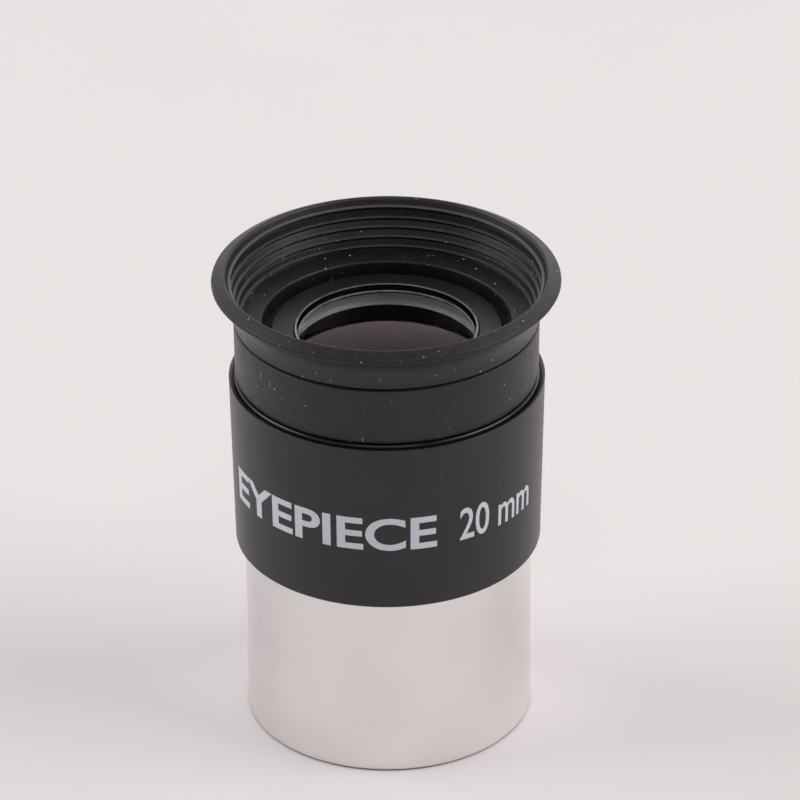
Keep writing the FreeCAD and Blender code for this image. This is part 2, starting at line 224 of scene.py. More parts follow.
# ---------------------------------------------------------------------------
# Material helpers
# ---------------------------------------------------------------------------
class Mat:
    def __init__(self, name, **sockets):
        self.mat = bpy.data.materials.new(name)
        self.mat.use_nodes = True
        self.nt = self.mat.node_tree
        self.bsdf = next(n for n in self.nt.nodes if n.type == "BSDF_PRINCIPLED")
        self.out = next(n for n in self.nt.nodes if n.type == "OUTPUT_MATERIAL")
        for key, val in sockets.items():
            self.set(key.replace("_", " "), val)
        self._obj = None

    def set(self, socket, val):
        for s in self.bsdf.inputs:
            if s.name.lower() == socket.lower():
                s.default_value = val
                return
        raise KeyError(socket)

    def sock(self, socket):
        for s in self.bsdf.inputs:
            if s.name.lower() == socket.lower():
                return s
        raise KeyError(socket)

    def link(self, a, b):
        self.nt.links.new(a, b)

    def node(self, kind, **props):
        n = self.nt.nodes.new(kind)
        for k, v in props.items():
            setattr(n, k, v)
        return n

    def math(self, op, a, b=None, c=None, clamp=False):
        n = self.node("ShaderNodeMath", operation=op, use_clamp=clamp)
        for i, x in enumerate((a, b, c)):
            if x is None:
                continue
            if isinstance(x, (int, float)):
                n.inputs[i].default_value = x
            else:
                self.link(x, n.inputs[i])
        return n.outputs[0]

    def position(self, scale=(1000, 1000, 1000)):
        """Position in the object's own frame, in millimetres times scale/1000."""
        if self._obj is None:
            self._obj = self.node("ShaderNodeTexCoord").outputs["Object"]
        m = self.node("ShaderNodeMapping")
        m.inputs["Scale"].default_value = scale
        self.link(self._obj, m.inputs["Vector"])
        return m.outputs["Vector"]

    def height_radius(self):
        x = self.node("ShaderNodeSeparateXYZ")
        self.link(self.position(), x.inputs[0])
        r2 = self.math("ADD", self.math("MULTIPLY", x.outputs[0], x.outputs[0]), self.math("MULTIPLY", x.outputs[1], x.outputs[1]))
        return x.outputs[2], self.math("SQRT", r2), x.outputs[0], x.outputs[1]

    def noise(self, scale, detail=3.0, rough=0.55, vec=None, distortion=0.0):
        n = self.node("ShaderNodeTexNoise")
        n.inputs["Scale"].default_value = scale
        n.inputs["Detail"].default_value = detail
        n.inputs["Roughness"].default_value = rough
        n.inputs["Distortion"].default_value = distortion
        self.link(vec if vec is not None else self.position(), n.inputs["Vector"])
        return n.outputs["Fac"]

    def ramp(self, fac, lo, hi, to_lo=0.0, to_hi=1.0, smooth=True):
        n = self.node("ShaderNodeMapRange", interpolation_type="SMOOTHSTEP" if smooth else "LINEAR")
        n.inputs["From Min"].default_value = lo
        n.inputs["From Max"].default_value = hi
        n.inputs["To Min"].default_value = to_lo
        n.inputs["To Max"].default_value = to_hi
        self.link(fac, n.inputs["Value"])
        return n.outputs["Result"]

    def mix(self, fac, a, b):
        n = self.node("ShaderNodeMix", data_type="RGBA")
        ins = [s for s in n.inputs if s.enabled] if False else n.inputs
        fac_s = next(s for s in n.inputs if s.identifier == "Factor_Float")
        a_s = next(s for s in n.inputs if s.identifier == "A_Color")
        b_s = next(s for s in n.inputs if s.identifier == "B_Color")
        if isinstance(fac, (int, float)):
            fac_s.default_value = fac
        else:
            self.link(fac, fac_s)
        for s, v in ((a_s, a), (b_s, b)):
            if isinstance(v, tuple):
                s.default_value = v if len(v) == 4 else v + (1.0,)
            else:
                self.link(v, s)
        return next(s for s in n.outputs if s.identifier == "Result_Color")

    def bump(self, height, strength=0.3, distance=0.00002, normal=None):
        n = self.node("ShaderNodeBump")
        n.inputs["Strength"].default_value = strength
        n.inputs["Distance"].default_value = distance
        self.link(height, n.inputs["Height"])
        if normal is not None:
            self.link(normal, n.inputs["Normal"])
        return n.outputs["Normal"]

    def specks(self, per_mm, size_mm, keep, seed=(0, 0, 0), turn=(0, 0, 0), scale=(1, 1, 1)):
        """0..1 mask of sparse specks, round or drawn out into fibres."""
        v = self.node("ShaderNodeTexVoronoi", feature="F1", distance="EUCLIDEAN")
        v.inputs["Scale"].default_value = per_mm
        v.inputs["Randomness"].default_value = 1.0
        m = self.node("ShaderNodeMapping")
        m.inputs["Location"].default_value = seed
        m.inputs["Rotation"].default_value = turn
        m.inputs["Scale"].default_value = scale
        self.link(self.position(), m.inputs["Vector"])
        self.link(m.outputs["Vector"], v.inputs["Vector"])
        col = self.node("ShaderNodeSeparateColor")
        self.link(v.outputs["Color"], col.inputs[0])
        # a speck's own size varies with its cell
        d = self.math("DIVIDE", v.outputs["Distance"], self.math("MULTIPLY_ADD", col.outputs[1], size_mm * per_mm, size_mm * per_mm * 0.25))
        dot = self.ramp(d, 0.7, 1.15, 1.0, 0.0)
        on = self.ramp(col.outputs[0], keep, keep + 0.001, 0.0, 1.0, smooth=False)
        return self.math("MULTIPLY", dot, on)


# --- rubber ------------------------------------------------------------------
def rubber(name="eyecup_rubber_matte", lo=(0.0075, 0.0066, 0.0070), hi=(0.0130, 0.0114, 0.0120)):
    m = Mat(name, Roughness=0.5, Specular_IOR_Level=0.42)
    big = m.noise(0.16, 3, 0.6)
    mid = m.noise(1.3, 4, 0.65)
    fine = m.noise(9.0, 3, 0.7)
    tone = m.math("MULTIPLY_ADD", big, 0.55, m.math("MULTIPLY", mid, 0.45))
    base = m.mix(m.ramp(tone, 0.3, 0.7), lo, hi)
    dust = m.specks(1.5, 0.10, 0.86)
    dust2 = m.specks(2.8, 0.055, 0.78, seed=(31.7, 4.2, 9.1))
    lint = m.specks(1.5, 0.065, 0.90, seed=(5.1, 17.2, 2.6), turn=(0.7, 0.5, 0.3), scale=(1, 1, 0.14))
    lint2 = m.specks(1.5, 0.065, 0.92, seed=(9.4, 3.3, 12.8), turn=(1.9, -0.6, 1.1), scale=(1, 1, 0.16))
    both = m.math("MAXIMUM", m.math("MAXIMUM", dust, m.math("MULTIPLY", dust2, 0.45)), m.math("MULTIPLY", m.math("MAXIMUM", lint, lint2), 0.7))
    # faint smears of dry dust
    smear = m.ramp(m.noise(0.9, 5, 0.7, vec=m.position((1000, 1000, 350))), 0.62, 0.86, 0.0, 0.16)
    col = m.mix(smear, base, (0.16, 0.15, 0.15))
    col = m.mix(m.math("MULTIPLY", both, 0.75), col, (0.50, 0.48, 0.47))
    m.link(col, m.sock("Base Color"))
    m.link(m.math("ADD", m.ramp(mid, 0.25, 0.75, 0.35, 0.47), m.math("MULTIPLY", both, 0.2)), m.sock("Roughness"))
    h = m.math("MULTIPLY_ADD", fine, 0.6, m.math("MULTIPLY", mid, 0.8))
    n = m.bump(h, 0.35, 0.00003)
    n = m.bump(both, 0.5, 0.00003, normal=n)
    m.link(n, m.sock("Normal"))
    return m.mat


# --- black satin sleeve --------------------------------------------------------
def sleeve_black():
    m = Mat("sleeve_satin_black", Roughness=0.36, Specular_IOR_Level=0.5)
    z, r, x, y = m.height_radius()
    big = m.noise(0.12, 2, 0.5)
    fine = m.noise(14.0, 2, 0.6)
    base = m.mix(m.ramp(big, 0.3, 0.7), (0.0060, 0.0050, 0.0056), (0.0090, 0.0078, 0.0085))
    # wear along the lip's outer edge, where the lacquer is chipped to bare metal
    edge = m.math("MULTIPLY", m.ramp(z, Z_LIP - 0.08, Z_LIP - 0.02, 0.0, 1.0), m.ramp(r, 17.2, 17.26, 0.0, 1.0))
    chips = m.ramp(m.noise(3.2, 5, 0.75), 0.50, 0.60)
    worn = m.math("MULTIPLY", edge, chips, clamp=True)
    low_edge = m.math("MULTIPLY", m.ramp(z, Z_SHOULDER + 0.20, Z_SHOULDER + 0.05, 0.0, 1.0), m.ramp(m.noise(1.7, 4, 0.7, vec=m.position((1000, 1000, 1000))), 0.66, 0.72))
    specks = m.specks(1.1, 0.085, 0.92, seed=(3.3, 8.1, 1.4))
    hair = m.ramp(m.noise(1.1, 6, 0.8, vec=m.position((900, 1500, 4000))), 0.80, 0.84)
    col = m.mix(m.math("MULTIPLY", specks, 0.45), base, (0.35, 0.33, 0.33))
    col = m.mix(m.math("MULTIPLY", worn, 0.12), col, (0.40, 0.36, 0.32))
    col = m.mix(m.math("MULTIPLY", low_edge, 0.7), col, (0.5, 0.46, 0.42))
    m.link(col, m.sock("Base Color"))
    m.link(m.math("ADD", m.ramp(fine, 0.2, 0.8, 0.33, 0.40), m.math("MULTIPLY", specks, 0.3)), m.sock("Roughness"))
    m.link(m.bump(fine, 0.12, 0.00001), m.sock("Normal"))
    return m.mat


def cell_black(name, rough, lo, hi, grain=0.3):
    m = Mat(name, Roughness=rough, Specular_IOR_Level=0.5)
    fine = m.noise(11.0, 4, 0.75)
    big = m.noise(0.35, 3, 0.6)
    base = m.mix(m.ramp(big, 0.3, 0.7), lo, hi)
    dust = m.specks(1.5, 0.03, 0.70, seed=(7.7, 2.1, 5.5))
    m.link(m.mix(m.math("MULTIPLY", dust, 0.35), base, (0.4, 0.39, 0.38)), m.sock("Base Color"))
    m.link(m.ramp(fine, 0.2, 0.8, rough - 0.06, rough + 0.06), m.sock("Roughness"))
    m.link(m.bump(fine, grain, 0.00002), m.sock("Normal"))
    return m.mat


def ridge_black():
    """Glossy black ridge round the eye lens; its two turned edges are worn bright."""
    m = Mat("cell_ridge_gloss", Roughness=0.2, Specular_IOR_Level=0.5)
    z, r, x, y = m.height_radius()
    top = m.ramp(z, 47.34, 47.37, 0.0, 1.0)
    low = m.math("MULTIPLY", m.ramp(z, 46.52, 46.56, 0.0, 1.0), m.ramp(z, 46.70, 46.74, 1.0, 0.0))
    patchy = m.ramp(m.noise(0.8, 4, 0.7), 0.25, 0.75, 0.35, 1.0)
    edge = m.math("MULTIPLY", m.math("MAXIMUM", top, low), patchy, clamp=True)
    fine = m.noise(9.0, 3, 0.6)
    base = m.mix(m.ramp(fine, 0.3, 0.7), (0.0020, 0.0020, 0.0022), (0.0032, 0.0031, 0.0034))
    m.link(m.mix(m.math("MULTIPLY", edge, 0.9), base, (0.24, 0.235, 0.24)), m.sock("Base Color"))
    m.link(m.ramp(fine, 0.2, 0.8, 0.09, 0.14), m.sock("Roughness"))
    m.link(m.bump(fine, 0.08, 0.00001), m.sock("Normal"))
    return m.mat


# --- satin chrome ---------------------------------------------------------------
def chrome():
    m = Mat("barrel_satin_chrome", Metallic=1.0, Roughness=0.30)
    z, r, x, y = m.height_radius()
    turned = m.noise(1.0, 3, 0.8, vec=m.position((60, 60, 9000)))
    big = m.noise(0.10, 3, 0.5)
    base = m.mix(m.ramp(big, 0.3, 0.7), (0.80, 0.775, 0.775), (0.84, 0.815, 0.818))
    pits = m.specks(0.9, 0.06, 0.95, seed=(1.3, 4.4, 2.9))
    m.link(m.mix(m.math("MULTIPLY", pits, 0.6), base, (0.16, 0.15, 0.15)), m.sock("Base Color"))
    m.link(m.ramp(turned, 0.2, 0.8, 0.27, 0.35), m.sock("Roughness"))
    m.link(m.bump(turned, 0.10, 0.000006), m.sock("Normal"))
    return m.mat


def inner_black(name="inner_matte_black"):
    m = Mat(name, Roughness=0.75, Specular_IOR_Level=0.3)
    fine = m.noise(8.0, 4, 0.7)
    m.link(m.mix(m.ramp(fine, 0.3, 0.7), (0.008, 0.008, 0.0085), (0.016, 0.0155, 0.016)), m.sock("Base Color"))
    turned = m.noise(1.0, 2, 0.6, vec=m.position((80, 80, 5000)))
    m.link(m.ramp(turned, 0.25, 0.75, 0.68, 0.82), m.sock("Roughness"))
    m.link(m.bump(turned, 0.35, 0.00003), m.sock("Normal"))
    return m.mat


def thread_metal():
    m = Mat("thread_bare_metal", Metallic=1.0, Roughness=0.36)
    fine = m.noise(1.0, 3, 0.7, vec=m.position((100, 100, 6000)))
    m.link(m.mix(m.ramp(fine, 0.3, 0.7), (0.60, 0.59, 0.585), (0.74, 0.73, 0.725)), m.sock("Base Color"))
    m.link(m.ramp(fine, 0.2, 0.8, 0.30, 0.42), m.sock("Roughness"))
    return m.mat


def ink():
    m = Mat("marking_ink_white", Roughness=0.55, Specular_IOR_Level=0.4)
    fine = m.noise(6.0, 4, 0.75)
    pin = m.specks(3.2, 0.03, 0.55, seed=(2.2, 2.9, 1.1))
    base = m.mix(m.ramp(fine, 0.3, 0.7), (0.50, 0.53, 0.60), (0.62, 0.65, 0.72))
    m.link(m.mix(m.math("MULTIPLY", pin, 0.5), base, (0.28, 0.29, 0.33)), m.sock("Base Color"))
    m.link(m.bump(fine, 0.25, 0.00001), m.sock("Normal"))
    return m.mat


def glass(name, ior, film=0.0, tint=(1.0, 1.0, 1.0, 1.0)):
    m = Mat(name, Roughness=0.0, IOR=ior, Transmission_Weight=1.0, Base_Color=tint)
    if film:
        m.set("Thin Film Thickness", film)
        m.set("Thin Film IOR", 1.38)
    return m.mat


def ground_edge():
    """The finely ground rim of a lens, seen through its polished front."""
    m = Mat("lens_ground_edge", Roughness=0.7, Specular_IOR_Level=0.2)
    ring = m.noise(1.0, 3, 0.7, vec=m.position((120, 120, 3500)))
    m.link(m.mix(m.ramp(ring, 0.25, 0.75), (0.80, 0.77, 0.775), (0.92, 0.90, 0.90)), m.sock("Base Color"))
    m.link(m.bump(ring, 0.2, 0.00002), m.sock("Normal"))
    return m.mat


RUBBER = rubber()
# lighter rubber for the rib ledges and the rim's inner edge: a painted highlight, with the same dust specks as the
# plain rubber
RUBBER_PAINTED_HIGHLIGHT = rubber("eyecup_rubber_painted_highlight_and_dust", (0.045, 0.042, 0.044), (0.075, 0.071, 0.073))
SLEEVE = sleeve_black()
CELL = cell_black("cell_front_matte", 0.37, (0.0045, 0.0042, 0.0046), (0.0075, 0.0070, 0.0076), 0.45)
GLOSS = cell_black("cell_collar_gloss", 0.16, (0.0050, 0.0048, 0.0052), (0.0080, 0.0078, 0.0084), 0.04)
RIDGE = ridge_black()
CHROME = chrome()
INNER = inner_black()
THREAD = thread_metal()
INK = ink()
LENS_OUT = glass("lens_coated_outer", 1.62, 118.0, (0.99, 0.985, 0.98, 1.0))
LENS_IN = glass("lens_coated_inner", 1.08, 0.0, (0.985, 0.99, 0.985, 1.0))
LENS_CEMENT = glass("lens_cement_face", 1.0658, 0.0)
LENS_CLEAR = glass("lens_cement_clear", 1.0, 0.0)
LENS_EDGE = ground_edge()


def paint(ob, *mats):
    ob.data.materials.clear()
    for mt in mats:
        ob.data.materials.append(mt)
    index = FACE_MATERIALS.get(ob.name)
    if index and len(mats) > 1:
        assert len(index) == len(ob.data.polygons), ob.name
        ob.data.polygons.foreach_set("material_index", index)
        ob.data.update()
    return ob


# ---------------------------------------------------------------------------
# Barrel and field stop
# ---------------------------------------------------------------------------
barrel = lathe("barrel_tube", [
    (14.60, 0.0, 0.03, 2), (R_BARREL, 0.0, 0.43, 0), (R_BARREL, Z_SHOULDER - 0.02, 0.06, 0),
    (14.55, Z_SHOULDER - 0.02, 0.0, 1), (14.55, Z_SHOULDER + 0.8, 0.0, 1), (14.62, Z_SHOULDER + 1.0, 0, 1),
    (14.62, 26.7, 0.0, 1), (14.5, 27.0, 0.05, 1),
    (13.30, 27.0, 0.05, 2), (13.30, 18.0, 0.0, 2), (13.90, 18.0, 0.0, 2), (13.90, 6.3, 0.0, 2),
    (14.60, 6.3, 0.0, 2), (14.60, 5.5, 0.0, 1), (14.25, 5.5, 0.0, 1), (14.25, 0.35, 0.0, 1),
])
paint(barrel, CHROME, THREAD, INNER)
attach(barrel, "barrel")
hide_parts("barrel")

spigot_thread = helix_thread("barrel_spigot_thread", 14.62, 15.0, 23.0, 26.6, 0.75)
paint(spigot_thread, THREAD)
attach(spigot_thread, "barrel")

filter_thread = helix_thread("barrel_filter_thread", 14.25, 13.95, 0.75, 5.2, 0.6)
paint(filter_thread, THREAD)
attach(filter_thread, "barrel")


def cut_slots(ob, width, z_low, z_high, r_in, r_out):
    """Cuts two opposite spanner slots in a ring with boolean boxes."""
    for side in (-1, 1):
        me = bpy.data.meshes.new("cutter")
        bm = bmesh.new()
        bmesh.ops.create_cube(bm, size=1.0)
        for v in bm.verts:
            v.co.x *= width * MM
            v.co.y = v.co.y * (r_out - r_in) * MM + side * (r_in + r_out) / 2 * MM
            v.co.z = v.co.z * (z_high - z_low) * MM + (z_low + z_high) / 2 * MM
        bm.to_mesh(me)
        bm.free()
        cutter = bpy.data.objects.new("cutter", me)
        scene.collection.objects.link(cutter)
        mod = ob.modifiers.new("slot", "BOOLEAN")
        mod.operation = "DIFFERENCE"
        mod.object = cutter
        mod.solver = "EXACT"
        dg = bpy.context.evaluated_depsgraph_get()
        new = bpy.data.meshes.new_from_object(ob.evaluated_get(dg))
        ob.modifiers.clear()
        old = ob.data
        ob.data = new
        bpy.data.meshes.remove(old)
        bpy.data.objects.remove(cutter)
    ob.data.set_sharp_from_angle(angle=math.radians(32))


stop = lathe("field_stop", [
    (12.6, 15.0, 0.04), (13.85, 15.0, 0.08), (13.85, 17.95, 0.05), (12.6, 17.95, 0.04),
    (8.6, 16.35, 0.0), (8.6, 16.2, 0.0), (12.6, 15.9, 0.0)], step=0.6)
cut_slots(stop, 1.4, 14.5, 15.6, 12.2, 14.3)
paint(stop, INNER)
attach(stop, "barrel")
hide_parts("field_stop_ring")

# ---------------------------------------------------------------------------
# Housing
# ---------------------------------------------------------------------------
sleeve = lathe("sleeve_shell", [
    (16.25, Z_SHOULDER, 0.05), (16.9, Z_SHOULDER, 0.2), (17.33, Z_LIP, 0.07),
    (17.20, Z_LIP, 0.0), (16.86, Z_LIP - 0.10, 0.03), (16.86, 40.88, 0.0), (16.25, 40.88, 0.0)], arc_deg=11)
paint(sleeve, SLEEVE)
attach(sleeve, "housing")
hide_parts("body_sleeve")

cell = lathe("lens_cell_housing", [
    (15.05, 21.8, 0.05, 0), (16.22, 21.8, 0.05, 0), (16.22, 40.9, 0.0, 1),
    (16.76, 40.9, 0.0, 1), (16.76, 42.0, 0.34, 1), (16.30, 42.0, 0.03, 1), (16.24, 41.90, 0.0, 1), (16.15, 41.98, 0.0, 0),
    (14.2, 41.98, 0.0, 0), (14.2, 44.6, 0.0, 0), (15.0, 44.6, 0.0, 2), (15.0, 46.3, 0.0, 2), (12.6, 46.3, 0.0, 2),
    (12.6, 47.2, 0.07, 0), (10.22, 47.2, 0.04, 0), (10.10, 47.12, 0.0, 3), (10.04, 47.38, 0.02, 3), (9.82, 47.38, 0.02, 3),
    (9.66, 46.70, 0.0, 3), (9.53, 46.64, 0.02, 3), (9.54, 46.56, 0.02, 3), (9.84, 46.22, 0.0, 2), (10.65, 46.2, 0.0, 2), (10.65, 32.2, 0.0, 2),
    (11.25, 32.2, 0.0, 2), (11.25, 28.6, 0.0, 2), (13.3, 27.8, 0.0, 2), (15.05, 27.8, 0.0, 2)], arc_deg=9)
paint(cell, CELL, GLOSS, INNER, RIDGE)
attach(cell, "housing")
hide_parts("lens_cell")

retainer = lathe("lens_retainer", [
    (10.3, 28.8, 0.05), (11.2, 28.8, 0.06), (11.2, 31.32, 0.0), (9.82, 31.32, 0.0), (9.6, 31.02, 0.0), (9.6, 30.1, 0.1)], step=0.6)
cut_slots(retainer, 1.2, 28.3, 29.7, 9.3, 11.7)
paint(retainer, INNER)
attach(retainer, "housing")
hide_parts("lens_retaining_ring")

spacer = lathe("lens_spacer", [
    (9.86, 36.53, 0.04), (10.5, 36.53, 0.05), (10.5, 40.77, 0.05), (9.86, 40.77, 0.04)], step=0.7)
paint(spacer, INNER)
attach(spacer, "thread_carrier")
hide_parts("lens_spacer_ring")


# ---------------------------------------------------------------------------
# Lenses
# ---------------------------------------------------------------------------
def sag(rho, r):
    return rho - math.sqrt(rho * rho - r * r)


def surface(apex, rho, r_max, up, mat, n=36, r_min=0.0):
    """Points of a spherical surface from the axis outwards."""
    pts = []
    for i in range(n + 1):
        r = r_min + (r_max - r_min) * i / n
        pts.append((r, apex + up * sag(rho, r), 0.0, mat))
    return pts


R_LENS = 10.6
LAND = 9.8
# material 0: air surface, 1: edge, 2: cemented surface
eye_flint = lathe("eye_lens_flint",
                  surface(45.1, 18.0, R_LENS, -1, 2) + [(R_LENS, 45.1 - sag(18.0, R_LENS) + 0.02, 0.0, 1)]
                  + [(p[0], p[1], 0.0, 0) for p in reversed(surface(47.1, 50.0, R_LENS, -1, 0))], closed=False, step=1.0, sharp=25)
paint(eye_flint, LENS_OUT, LENS_EDGE, LENS_CEMENT)
eye_crown = lathe("eye_lens_crown",
                  surface(38.9, 26.0, LAND, 1, 0) + [(LAND, 38.9 + sag(26, LAND), 0.0, 1), (R_LENS, 38.9 + sag(26, LAND), 0.0, 1)]
                  + [(p[0], p[1], 0.0, 2) for p in reversed(surface(45.09, 18.0, R_LENS, -1, 2))], closed=False, step=1.0, sharp=25)
paint(eye_crown, LENS_IN, LENS_EDGE, LENS_CLEAR)
field_crown = lathe("field_lens_crown",
                    surface(31.91, 18.0, R_LENS, 1, 2) + [(R_LENS, 38.4 - sag(26, LAND), 0.0, 1)]
                    + [(LAND, 38.4 - sag(26, LAND), 0.0, 0)]
                    + [(p[0], p[1], 0.0, 0) for p in reversed(surface(38.4, 26.0, LAND, -1, 0))][1:], closed=False, step=1.0, sharp=25)
paint(field_crown, LENS_IN, INNER, LENS_CLEAR)
field_flint = lathe("field_lens_flint",
                    surface(30.4, 50.0, LAND, 1, 0) + [(LAND, 30.4 + sag(50.0, LAND), 0.0, 1), (R_LENS, 30.4 + sag(50.0, LAND), 0.0, 1)]
                    + [(p[0], p[1], 0.0, 2) for p in reversed(surface(31.9, 18.0, R_LENS, 1, 2))], closed=False, step=1.0, sharp=25)
paint(field_flint, LENS_OUT, INNER, LENS_CEMENT)
for ob, node in ((eye_flint, "eye_flint_lens"), (eye_crown, "eye_crown_lens"),
                 (field_crown, "field_crown_lens"), (field_flint, "field_flint_lens")):
    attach(ob, "housing")
    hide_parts(node)

# ---------------------------------------------------------------------------
# Rubber eyecup
# ---------------------------------------------------------------------------
skirt = lathe("eyecup_skirt_rubber", [
    (14.35, 42.05, 0.05), (16.42, 42.05, 0.05), (16.60, 42.26, 0.12), (16.63, 42.5, 0.3), (16.70, 48.60, 0.12),
    (16.36, 48.74, 0.03), (16.40, 49.00, 0.0), (16.38, 49.20, 0.05), (16.26, 49.20, 0.05), (16.20, 48.92, 0.0),
    (16.02, 48.79, 0.0), (16.00, 48.62, 0.03), (15.86, 48.54, 0.05), (13.62, 48.22, 0.16), (13.55, 48.05, 0.05), (13.55, 47.12, 0.06), (13.62, 46.35, 0.0), (15.05, 46.35, 0.0),
    (15.05, 44.55, 0.0), (14.35, 44.55, 0.0)], arc_deg=10, step=0.3)
paint(skirt, RUBBER)
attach(skirt, "housing")
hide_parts("eyecup_skirt")


def arc_through(p0, p1, rho, side, n):
    """Points of an arc from p0 to p1; side 1 bulges to the left of the travel."""
    a, b = Vector(p0), Vector(p1)
    mid, run = (a + b) / 2, b - a
    nrm = Vector((-run.y, run.x)).normalized()
    h = math.sqrt(rho * rho - (run.length / 2) ** 2)
    c = mid - nrm * h * side
    a0 = math.atan2(a.y - c.y, a.x - c.x)
    a1 = math.atan2(b.y - c.y, b.x - c.x)
    d = (a1 - a0 + math.pi) % (2 * math.pi) - math.pi
    return [(c.x + rho * math.cos(a0 + d * i / n), c.y + rho * math.sin(a0 + d * i / n)) for i in range(n + 1)]


outer = [(r, z, 0.0) for r, z in arc_through((16.70, 49.0), (18.98, 53.2), 6.2, 1, 18)]
outer[0] = (16.70, 49.0, 0.10)
ribs = [(16.94, 53.20, 0.0), (16.96, 53.15, 0.02), (17.38, 53.08, 0.03), (17.38, 52.84, 0.04), (17.26, 52.74, 0.03)]
for tip_r, tip_z in ((16.80, 52.00), (16.47, 51.00), (16.12, 49.96)):
    # each rib: a steep band, a flat ledge that catches the light and is painted in the lighter rubber as a painted
    # highlight, and a groove right under it
    ribs += [(tip_r + 0.30, tip_z + 0.07, 0.03, 1), (tip_r, tip_z + 0.02, 0.03, 0), (tip_r, tip_z - 0.06, 0.02),
             (tip_r + 0.26, tip_z - 0.13, 0.03), (tip_r + 0.26, tip_z - 0.40, 0.03), (tip_r + 0.19, tip_z - 0.46, 0.03)]
# the lowest ledge is painted in the lighter rubber too: a painted highlight
ribs += [(16.14, 48.99, 0.03, 1), (15.80, 48.95, 0.03, 0), (15.80, 48.89, 0.02), (15.92, 48.82, 0.0)]
flare = lathe("eyecup_flare_rubber", [(15.92, 48.8, 0.0), (16.36, 48.8, 0.02)] + outer + ribs, arc_deg=14, step=0.22)
paint(flare, RUBBER, RUBBER_PAINTED_HIGHLIGHT)
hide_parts("eyecup_flare")
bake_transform(flare)

# the rim's inner edge is painted in the lighter rubber: a painted highlight
rim = lathe("eyecup_rim_rubber", [
    (16.94, 53.2, 0.0), (18.98, 53.2, 0.0), (19.04, 53.30, 0.08), (18.93, 53.60, 0.14), (18.74, 53.70, 0.14),
    (18.00, 54.10, 0.40), (17.66, 54.24, 0.22), (17.44, 54.02, 0.30), (17.22, 53.42, 0.06, 1), (17.14, 53.31, 0.04, 1), (16.92, 53.28, 0.03, 0)], arc_deg=9)
paint(rim, RUBBER, RUBBER_PAINTED_HIGHLIGHT)
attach(rim, "eyecup_rim")
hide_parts("eyecup_rim")


# ---------------------------------------------------------------------------
# Markings: a plain generic word and the focal length, printed on the sleeve
# ---------------------------------------------------------------------------
def sleeve_radius(z):
    return 16.9 + (17.33 - 16.9) * (z - Z_SHOULDER) / (Z_LIP - Z_SHOULDER)


def marking(name, text, cap_mm, az_from, az_to, z_base, bold=0.02, thick=0.02, shear=0.0):
    cu = bpy.data.curves.new(name, "FONT")
    cu.body = text
    cu.size = 1.0
    cu.offset = bold
    cu.resolution_u = 6
    cu.shear = shear
    tmp = bpy.data.objects.new(name + "_curve", cu)
    scene.collection.objects.link(tmp)
    bpy.context.view_layer.update()
    dg = bpy.context.evaluated_depsgraph_get()
    me = bpy.data.meshes.new_from_object(tmp.evaluated_get(dg))
    bpy.data.objects.remove(tmp)
    co = np.array([v.co for v in me.vertices])
    x0, x1 = co[:, 0].min(), co[:, 0].max()
    y0 = 0.0
    y1 = co[:, 1].max()
    span = math.radians(az_to - az_from) * sleeve_radius(z_base + cap_mm / 2)
    bm = bmesh.new()
    bm.from_mesh(me)
    bpy.data.meshes.remove(me)
    for v in bm.verts:
        v.co.x = (v.co.x - x0) / (x1 - x0) * span
        v.co.y = (v.co.y - y0) / (y1 - y0) * cap_mm
        v.co.z = 0.0
    bmesh.ops.remove_doubles(bm, verts=bm.verts, dist=1e-4)
    k = 0.45
    while k < span:
        geom = bm.verts[:] + bm.edges[:] + bm.faces[:]
        bmesh.ops.bisect_plane(bm, geom=geom, plane_co=(k, 0, 0), plane_no=(1, 0, 0), dist=1e-5)
        k += 0.45
    bmesh.ops.triangulate(bm, faces=bm.faces[:])
    ret = bmesh.ops.extrude_face_region(bm, geom=bm.faces[:])
    for g in ret["geom"]:
        if isinstance(g, bmesh.types.BMVert):
            g.co.z = thick
    bmesh.ops.recalc_face_normals(bm, faces=bm.faces)
    for v in bm.verts:
        zz = z_base + v.co.y
        a = math.radians(az_from) + v.co.x / sleeve_radius(z_base + cap_mm / 2)
        r = sleeve_radius(zz) - 0.004 + v.co.z
        v.co = Vector((r * math.sin(a), -r * math.cos(a), zz)) * MM
    out = bpy.data.meshes.new(name)
    bm.to_mesh(out)
    bm.free()
    ob = bpy.data.objects.new(name, out)
    scene.collection.objects.link(ob)
    out.polygons.foreach_set("use_smooth", [False] * len(out.polygons))
    paint(ob, INK)
    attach(ob, "housing")
    return ob


marking("marking_word", "EYEPIECE", 3.9, -72, 18, 29.3, bold=0.022)
marking("marking_focal_length", "20 mm", 3.9, 27, 64, 29.3, bold=0.010)

WALL, CEILING, FRONT = 0.80, 0.22, 0.45
PATCHES = (
    ((0.15, 0.80, 0.62), 14, 40, 0.6),
)
# direction, distance in metres, width, height, radiance
SOFTBOXES = (
    ("softbox_left", (-0.80, 0.10, 0.58), 1.25, 0.85, 0.85, 2.9),
    ("softbox_right", (0.76, -0.12, 0.64), 1.25, 0.90, 0.90, 3.2),
    ("softbox_front", (0.0, -0.52, 0.85), 1.35, 0.80, 0.50, 2.1),
)

# ---------------------------------------------------------------------------
# Stage: floor, lights and camera
# ---------------------------------------------------------------------------
fm = Mat("floor_pale", Roughness=0.55, Specular_IOR_Level=0.25)
fm.link(fm.mix(fm.ramp(fm.noise(0.02, 2, 0.5), 0.3, 0.7), (0.757, 0.727, 0.729), (0.767, 0.737, 0.739)), fm.sock("Base Color"))
me = bpy.data.meshes.new("floor")
bm = bmesh.new()
bmesh.ops.create_grid(bm, x_segments=8, y_segments=8, size=3.0)
bm.to_mesh(me)
bm.free()
floor = bpy.data.objects.new("floor", me)
scene.collection.objects.link(floor)
paint(floor, fm.mat)

world = bpy.data.worlds.new("studio")
scene.world = world
world.use_nodes = True
wt = world.node_tree
bg = wt.nodes["Background"]
wc = wt.nodes.new("ShaderNodeTexCoord")


